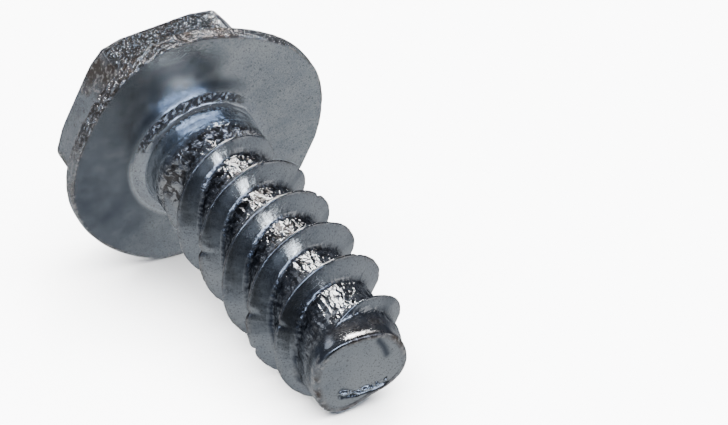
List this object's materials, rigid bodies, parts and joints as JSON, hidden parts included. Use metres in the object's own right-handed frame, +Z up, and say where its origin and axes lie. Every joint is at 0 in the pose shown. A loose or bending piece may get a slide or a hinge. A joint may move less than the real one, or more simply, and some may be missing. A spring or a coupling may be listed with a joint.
{
  "type": "thread rolling screw",
  "caption": "Thread rolling screw with an indented hexagon washer head, a cross recess, a coarse twin-lead trilobular thread and a blunt end.",
  "frame": {"origin": "centre of the bounding box, on the table the screw lies on", "axes": "+Z up; the screw's axis lies in the YZ plane, its head towards +Y and 13.5 degrees up, as it rests on its washer rim and its last threads"},
  "size_m": [0.0104, 0.0164, 0.0101],
  "materials": {
    "zinc_steel": "bright zinc plating over cold-forged steel, satin, bluish grey, worn on the edges"
  },
  "bodies": {
    "root": {"screw": "zinc_steel"}
  },
  "joints": []
}
